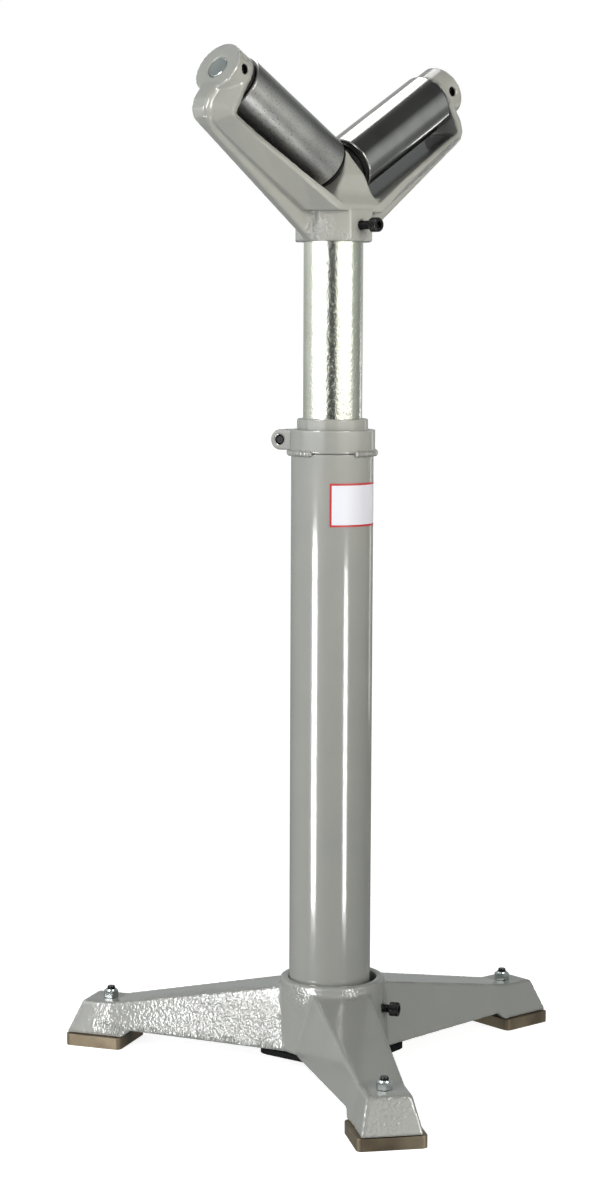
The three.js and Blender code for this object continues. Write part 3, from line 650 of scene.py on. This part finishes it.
def weld_bead(node):
    low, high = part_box(node)
    middle = (low + high) / 2 - column_axis
    shape = bmesh.new()
    bmesh.ops.create_circle(shape, segments=16, radius=BEAD_RADIUS)
    shape.transform(Matrix.Translation((bead_track, 0, bead_level)) @ Matrix.Rotation(math.pi / 2, 4, "X"))
    start = math.atan2(middle.y, middle.x) - math.radians(BEAD_SPAN / 2)
    bmesh.ops.spin(shape, geom=shape.verts[:] + shape.edges[:], cent=(0, 0, 0), axis=(0, 0, 1),
                   angle=math.radians(BEAD_SPAN), steps=90, use_merge=False)
    bmesh.ops.holes_fill(shape, edges=[line for line in shape.edges if line.is_boundary], sides=16)
    for point in shape.verts:
        angle = math.degrees(math.atan2(point.co.y, point.co.x))
        from_end = min(angle, BEAD_SPAN - angle)
        swell = 1 + 0.10 * math.sin(angle * 1.05) + 0.06 * math.sin(angle * 0.41)
        swell += 0.22 * math.exp(-from_end / 4)
        swell *= math.sqrt(max(0.05, 1 - max(0, 1 - from_end / 3.2) ** 2))
        around = math.radians(angle)
        track = Vector((math.cos(around) * bead_track, math.sin(around) * bead_track, bead_level))
        point.co = track + (point.co - track) * swell
    bmesh.ops.recalc_face_normals(shape, faces=shape.faces[:])
    add_piece(f"{node}_rippled", shape, column_place @ Matrix.Rotation(start, 4, "Z"), "base",
              tube_paint, [node])


for side in ("right", "left"):
    weld_bead(f"collar_weld_{side}")
print("two beads of", BEAD_SPAN, "degrees")

# %% [markdown]
# ## Label
#
# The column carries a label, here a blank white one with a red border. It is a thin strip bent round the
# tube, so it is four points spun through part of a turn and closed at both ends. The border follows the
# strip's own height and angle, which a material can work out from Object coordinates.

# %% Label
LABEL_LOW, LABEL_HIGH, LABEL_SPAN, BORDER = 509.3 * MM, 549 * MM, math.radians(111.6), 1.9 * MM
LABEL_SUNK, LABEL_RAISED = 0.05 * MM, 0.16 * MM
label_start = camera_azimuth - math.radians(3.4)
label_radius = column_sizes[1]
label_finish = Finish("label")
level = label_finish.part(2)
from_axis = label_finish.add("ShaderNodeVectorMath", {"operation": "SUBTRACT"},
                             {0: label_finish.place, 1: column_axis})
ahead = label_finish.add("ShaderNodeMapping", {"vector_type": "POINT"},
                         {"Vector": from_axis, "Rotation": (0, 0, -label_start - LABEL_SPAN / 2)})
turn = label_finish.part(1, ahead).math("ARCTAN2", label_finish.part(0, ahead)).math("ABSOLUTE")
border = turn.math("GREATER_THAN", LABEL_SPAN / 2 - BORDER / label_radius)
border = border.greatest(level.math("LESS_THAN", LABEL_LOW + BORDER))
border = border.greatest(level.math("GREATER_THAN", LABEL_HIGH - BORDER))
label_finish.feed(label_finish.surface, {
    "Base Color": label_finish.mix(border, (0.63, 0.63, 0.69, 1), (0.42, 0.008, 0.012, 1)),
    "Roughness": 0.4 + 0.1 * label_finish.noise(300, 2),
})
label_finish.bump(label_finish.noise(60, 2), 0.05 * MM)
label = bmesh.new()
label_inner, label_outer = label_radius - LABEL_SUNK, label_radius + LABEL_RAISED
corners = [label.verts.new((radius, 0, height)) for radius, height in (
    (label_inner, LABEL_LOW), (label_outer, LABEL_LOW), (label_outer, LABEL_HIGH), (label_inner, LABEL_HIGH))]
for pair in zip(corners, corners[1:] + corners[:1]):
    label.edges.new(pair)
bmesh.ops.spin(label, geom=label.verts[:] + label.edges[:], cent=(0, 0, 0), axis=(0, 0, 1),
               angle=LABEL_SPAN, steps=48, use_merge=False)
bmesh.ops.holes_fill(label, edges=[line for line in label.edges if line.is_boundary], sides=4)
bmesh.ops.recalc_face_normals(label, faces=label.faces[:])
add_piece("label", label, column_place @ Matrix.Rotation(label_start, 4, "Z"), "base",
          label_finish.material)
print("label of", round(LABEL_SPAN * label_radius * 1000), "by", round((LABEL_HIGH - LABEL_LOW) * 1000), "mm")

# %% [markdown]
# ## Screws
#
# A thread is a ridge that climbs one pitch in each turn. A finely divided shank is turned first, and each of
# its points is then drawn in by how far it lies from the ridge, found from its height and its angle. The
# cap screws have a knurled head with a hexagon socket.

# %% Threads and sockets
PITCH, THREAD_DEPTH = 1.25 * MM, 0.6 * MM


def threaded(radius, low, high, steps=32):
    rows = round((high - low) / PITCH * 5)
    rises = [low + (high - low) * row / rows for row in range(rows + 1)]
    shape = turned([(0, low)] + [(radius, rise) for rise in rises] + [(0, high)], steps)
    for point in shape.verts:
        reach = math.hypot(point.co.x, point.co.y)
        if reach > radius / 2:
            turn = math.atan2(point.co.y, point.co.x) / (2 * math.pi)
            ridge = abs((point.co.z / PITCH - turn) % 1 - 0.5) * 2
            run_out = min(1, (point.co.z - low) / PITCH, (high - point.co.z) / PITCH)
            point.co.xy *= (radius - THREAD_DEPTH * (1 - ridge * run_out)) / radius
    return shape


def hex_socket(flats, low, high):
    return prism(flats / 2 / math.cos(math.pi / 6), 6, low, high)


# %% Cap screws
SCREW_RADIUS, HEAD_RADIUS, KNURLS = 4 * MM, 6.5 * MM, 60


def cap_screw(node, place, body):
    _, _, low, high = measure(node, place)
    _, _, head_low, head_high = measure(node, place, 5.5 * MM)
    if head_low - low < high - head_high:
        place = place @ Matrix.Rotation(math.pi, 4, "X")
        low, high, head_low, head_high = -high, -low, -head_high, -head_low
    profile = [(0, head_low), (HEAD_RADIUS, head_low), (HEAD_RADIUS, head_low + 1.1 * MM),
               (HEAD_RADIUS, head_high - 1.1 * MM), (HEAD_RADIUS - 0.7 * MM, head_high), (0, head_high)]
    head = turned(profile, 2 * KNURLS)
    for point in head.verts:
        step = round(math.atan2(point.co.y, point.co.x) / math.pi * KNURLS)
        if step % 2 and head_low + MM < point.co.z < head_high - MM:
            point.co.xy *= 0.965
    head = carve(head, hex_socket(6 * MM, head_high - 4 * MM, head_high + MM))
    shape = carve(head, threaded(SCREW_RADIUS, low, head_low + 0.5 * MM), "UNION")
    add_piece(f"{node}_threaded", shape, place, body, black_oxide, [node])


cap_screw("clamp_screw", place_of("clamp_screw_turn"), "clamp_screw")
cap_screw("base_lock_screw", place_of("base_lock_screw_turn"), "base_lock_screw")
cap_screw("head_lock_screw", place_of("head_lock_screw_turn"), "head_lock_screw")
print("three cap screws")

# %% [markdown]
# ## Feet
#
# Each foot stands on a thick pad, held by a sunk bolt whose end comes out of a lock nut on top. The nut is a
# hexagon cut by a shape of revolution, which chamfers its corners, with a domed collar above it that grips
# the bolt. The bolts that hold the plate under the hub have the same kind of head.

# %% Nuts and bolts
HEX_FLATS = 13 * MM


def hexagon(low, high):
    """A hexagon with its corners chamfered at both ends."""
    corner, crown = HEX_FLATS / 2 / math.cos(math.pi / 6), 0.9 * MM
    bar = prism(corner, 6, low, high)
    round_bar = turned([(0, low), (corner - crown, low), (corner + 0.05 * MM, low + 0.55 * crown),
                        (corner + 0.05 * MM, high - 0.55 * crown), (corner - crown, high), (0, high)], 96)
    return carve(bar, round_bar, "INTERSECT")


def lock_nut(leg):
    node = f"foot_nut_{leg}"
    low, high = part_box(node)
    rim = high.z - 1.6 * MM
    collar = turned([(0, rim - MM), (5.7 * MM, rim - MM), (5.7 * MM, rim + 0.5 * MM),
                     (5.2 * MM, high.z - 0.3 * MM), (4.5 * MM, high.z), (0, high.z)], 64)
    nut = carve(hexagon(low.z, rim), collar, "UNION")
    nut = carve(nut, prism(4.15 * MM, 48, low.z - MM, high.z + MM))
    turn = Matrix.Rotation(math.radians({"right": 30, "left": 150, "front": 270}[leg]), 4, "Z")
    add_piece(f"{node}_crowned", nut, standing(node) @ turn, "base", zinc_plate, [node])


def foot_bolt(leg):
    node = f"foot_bolt_{leg}"
    _, head_radius, low, high = measure(node, standing(node))
    head = turned([(0, low), (head_radius, low), (head_radius, low + 0.3 * MM), (SCREW_RADIUS, low + 4 * MM),
                   (SCREW_RADIUS - THREAD_DEPTH, low + 4.6 * MM), (0, low + 4.6 * MM)], 64)
    head = carve(head, hex_socket(5 * MM, low - MM, low + 2.5 * MM))
    bolt = carve(head, threaded(SCREW_RADIUS, low + 4.2 * MM, high), "UNION")
    add_piece(f"{node}_threaded", bolt, standing(node), "base", black_oxide, [node])


def plate_screw(leg):
    node = f"plate_screw_{leg}"
    low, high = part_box(node)
    head = carve(hexagon(low.z, low.z + 5.5 * MM), prism(5.8 * MM, 64, low.z - 0.25 * MM, low.z + MM))
    washer = turned([(0, low.z), (4.6 * MM, low.z), (5.0 * MM, low.z + 0.4 * MM), (5.0 * MM, low.z + 2 * MM),
                     (0, low.z + 2 * MM)], 64)
    screw = carve(carve(head, washer, "UNION"), threaded(SCREW_RADIUS, low.z + 5 * MM, high.z), "UNION")
    add_piece(f"{node}_threaded", screw, standing(node), "base", zinc_plate, [node])


# %% Pads and the plate under the hub
for leg in ("right", "left", "front"):
    add_piece(f"foot_pad_{leg}_softened", softened(copy_of(f"foot_pad_{leg}"), 0.4 * MM), Matrix(), "base",
              pad_metal, [f"foot_pad_{leg}"])
    foot_bolt(leg)
    lock_nut(leg)
    plate_screw(leg)
add_piece("base_plate_softened", softened(copy_of("base_plate"), 0.7 * MM), Matrix(), "base",
          black_paint, ["base_plate"])
print("feet: three pads, bolts, nuts and plate screws")

# %% [markdown]
# ## Rollers, axles and bearings
#
# Each arm carries the same set on its own axis, so one function makes it from the sizes of that arm's nodes.
# From the wedge outwards there are a stepped dust ring with two lips, the roller with a bearing in each end,
# a thin ring, and the axle's end in the ear, held by a set screw.


# %% The set on one arm
AXLE_CHAMFER = 0.8 * MM


def arm_set(side):
    place = place_of(f"roller_{side}_spin")
    roller = f"roller_{side}"

    def round_piece(node, shape, body, material):
        add_piece(f"{node}_turned", shape, place, body, material, [node])

    inner, outer, low, high = measure(roller, place)
    profile = [(inner, low), (outer - MM, low), (outer, low + MM), (outer, high - MM), (outer - MM, high),
               (inner, high)]
    round_piece(roller, turned(profile, 128, 0.3 * MM), roller, roller_steel[side])
    for end in ("lower", "upper"):
        node = f"inner_race_{side}_{end}"
        round_piece(node, tube(*measure(node, place), 0.5 * MM, 96), "head", bearing_steel)
        node = f"outer_race_{side}_{end}"
        lip, outer, low, high = measure(node, place)
        track, inset, plate = outer - 3.6 * MM, 0.6 * MM, 1.6 * MM
        race = turned([(lip, low + inset), (track, low + inset), (track, low), (outer, low), (outer, high),
                       (track, high), (track, high - inset), (lip, high - inset), (lip, high - plate),
                       (track, high - plate), (track, low + plate), (lip, low + plate)], 96)
        round_piece(node, race, roller, bearing_steel)

    node = f"dust_ring_{side}_upper"
    round_piece(node, tube(*measure(node, place), 0.4 * MM, 96), "head", black_rubber)
    node = f"dust_ring_{side}_lower"
    inner, outer, low, high = measure(node, place)
    step = (low + high) / 2
    narrow = ((low + CROSSING) * math.cos(ARM_RISE) - WEDGE_GAP) / math.sin(ARM_RISE)
    groove, width, depth = (step + high) / 2, 0.5 * MM, 1.4 * MM
    lips = [(inner, low), (narrow, low), (narrow, step), (outer, step), (outer, groove - width),
            (outer - depth, groove - width), (outer - depth, groove + width), (outer, groove + width),
            (outer, high), (inner, high)]
    round_piece(node, turned(lips, 128, 0.15 * MM), "head", black_rubber)

    node = f"axle_{side}"
    _, outer, low, high = measure(node, place)
    pin = [(0, low), (outer - MM, low), (outer, low + MM), (outer, high - AXLE_CHAMFER),
           (outer - AXLE_CHAMFER, high), (0, high)]
    round_piece(node, turned(pin, 96, 0.25 * MM), "head", zinc_plate)

    node = f"axle_set_screw_{side}"
    low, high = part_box(node)
    middle = (low + high) / 2
    foot = place @ Vector((0, 0, (place.inverted() @ middle).z))
    screw_place = place_on(foot, (middle - foot).normalized())
    _, _, low, high = measure(node, screw_place)
    screw = carve(threaded(SCREW_RADIUS, low, high), hex_socket(4 * MM, high - 3 * MM, high + MM))
    add_piece(f"{node}_threaded", screw, screw_place, "head", black_oxide, [node])


for side in ("right", "left"):
    arm_set(side)
print("two arms dressed")

# %% [markdown]
# ## Light
#
# Two wide, dim windows stand left and right of the camera and draw the broad white bands on the post. Two
# narrow bright boxes, close by and low, draw the thin hot streaks on the painted column. They hardly reach
# the floor, so the streaks fade before the column's foot. Two lamps and two more boxes over the head shine on
# the rollers. All these but the windows show only in reflections, and the fill lights only light the paint.
# The tent around is dim, and darker still behind the camera and to one side, which is what shapes round metal
# in a photograph.


# %% Soft boxes
def soft_box(name, spot, aim, size, radiance, spread=180, shines_on="all", colour=(1, 1, 1)):
    """An area light at a point, looking at another. Its power is four times its area times its radiance.

    It shines on all, or is seen only in "gloss", or lights only "paint".
    """
    light = bpy.data.lights.new(name, "AREA")
    light.shape = "RECTANGLE"
    light.size, light.size_y = size
    light.energy = 4 * size[0] * size[1] * radiance
    light.spread, light.color = math.radians(spread), colour
    holder = bpy.data.objects.new(name, light)
    towards = (aim - spot).to_track_quat("-Z", "Y").to_matrix().to_4x4()
    holder.matrix_world = Matrix.Translation(spot) @ towards
    holder.visible_camera = False
    holder.visible_glossy = shines_on != "paint"
    holder.visible_diffuse = shines_on != "gloss"
    bpy.context.scene.collection.objects.link(holder)


def upright_box(name, turn, distance, height, size, radiance, **more):
    soft_box(name, seen_from_camera(turn, distance, height), column_axis + Vector((0, 0, height)), size,
             radiance, **more)


upright_box("window_left", -54, 2.0, 0.95, (2.4, 0.9), 1.6)
upright_box("window_right", 46, 2.0, 0.95, (2.4, 0.9), 1.25, colour=(1, 0.98, 0.9))
upright_box("streak_left", -47, 0.78, 0.21, (0.18, 0.46), 17, shines_on="gloss")
upright_box("streak_right", 40, 0.78, 0.185, (0.14, 0.43), 12, shines_on="gloss")

# %% Lamps over the head and fill on the paint
chest = column_axis + Vector((0, 0, 0.4))
head = head_centre + Vector((0, 0, 0.1))
roller_axis = Vector(joints["roller_right_spin"]["axis"])
grazing = (head - camera_point).normalized()


def mirrored_by_roller(turn, distance):
    """Where a light shows in the right roller, from its upper edge at 0 through its middle at 180 degrees."""
    return head + Matrix.Rotation(math.radians(turn), 3, roller_axis) @ grazing * distance


soft_box("roller_band", mirrored_by_roller(84, 1.3), head, (0.56, 0.8), 2.7, shines_on="gloss")
soft_box("roller_line", mirrored_by_roller(-68, 1.5), head, (0.08, 0.6), 3, shines_on="gloss")
soft_box("lamp_left", seen_from_camera(-47, 1.3, 1.17), head, (0.3, 0.5), 18, shines_on="gloss")
soft_box("lamp_right", seen_from_camera(41, 1.3, 1.17), head, (0.25, 0.5), 14, shines_on="gloss")
soft_box("fill_left", seen_from_camera(-45, 1.5, 0.3), chest, (1.0, 1.0), 3.9, shines_on="paint")
soft_box("fill_right", seen_from_camera(50, 1.5, 0.3), chest, (1.0, 1.0), 1.7, shines_on="paint")
soft_box("fill_head", seen_from_camera(45, 1.2, 1.2), head, (0.6, 0.6), 0.85, 45, shines_on="paint",
         colour=(1, 0.96, 0.87))
soft_box("fill_boss", seen_from_camera(-75, 1.2, 1.4), head + Vector((-0.1, 0, 0.05)), (0.4, 0.4), 0.25, 30,
         shines_on="paint")
print("lights:", [thing.name for thing in bpy.data.lights])

# %% World
world = bpy.data.worlds.new("tent")
bpy.context.scene.world = world
world.use_nodes = True
tent = Recipe(world.node_tree)
way = tent.add("ShaderNodeTexCoord", {}, {}, "Generated")
rise = tent.add("ShaderNodeSeparateXYZ", {}, {0: way}, 2)
gap_way = seen_from_camera(-4, 1, 0) - column_axis
towards_gap = tent.add("ShaderNodeVectorMath", {"operation": "DOT_PRODUCT"}, {0: way, 1: gap_way}, 1)
gap = towards_gap.between(math.cos(math.radians(22)), math.cos(math.radians(13)))
flag_way = (seen_from_camera(100, 1, 0) - column_axis) * 0.79 + Vector((0, 0, 0.61))
towards_flag = tent.add("ShaderNodeVectorMath", {"operation": "DOT_PRODUCT"}, {0: way, 1: flag_way}, 1)
flag = towards_flag.between(math.cos(math.radians(60)), math.cos(math.radians(34)))
glow = 0.25 + 0.30 * rise.between(-0.12, 0.02) - 0.12 * rise.between(0.3, 0.6) - 0.36 * flag
for turn, inner, outer in ((-92, 8, 42), (86, 5, 36)):
    side_way = seen_from_camera(turn, 1, 0) - column_axis
    towards_side = tent.add("ShaderNodeVectorMath", {"operation": "DOT_PRODUCT"}, {0: way, 1: side_way}, 1)
    glow = glow + 0.3 * towards_side.between(math.cos(math.radians(outer)), math.cos(math.radians(inner)))
strength = (glow - 0.45 * gap).greatest(0.05)
fill = tent.add("ShaderNodeBackground", {}, {"Color": (0.95, 1, 0.98, 1), "Strength": strength})
seen = tent.add("ShaderNodeBackground", {}, {"Color": (1, 1, 1, 1), "Strength": 1.0})
looked_at = tent.add("ShaderNodeLightPath", {}, {}, "Is Camera Ray")
sky = tent.add("ShaderNodeMixShader", {}, {0: looked_at, 1: fill, 2: seen})
tent.feed(tent.nodes["World Output"], {"Surface": sky})

# %% [markdown]
# ## Floor
#
# The floor is a plain pale sheet, lit from below a little as a light table is, so it reads as white right up
# to the stand's feet and still shows a soft shadow under them.

# %% Floor
floor_shape = bmesh.new()
bmesh.ops.create_grid(floor_shape, x_segments=2, y_segments=2, size=30)
floor_mesh = bpy.data.meshes.new("floor")
floor_shape.to_mesh(floor_mesh)
floor_shape.free()
floor = bpy.data.objects.new("floor", floor_mesh)
bpy.context.scene.collection.objects.link(floor)
floor_finish = Finish("floor")
floor_finish.feed(floor_finish.surface, {
    "Base Color": (0.6, 0.6, 0.6, 1), "Roughness": 0.9,
    "Emission Color": (1, 1, 1, 1), "Emission Strength": 0.85,
})
floor_mesh.materials.append(floor_finish.material)
floor.visible_glossy = floor.visible_diffuse = False
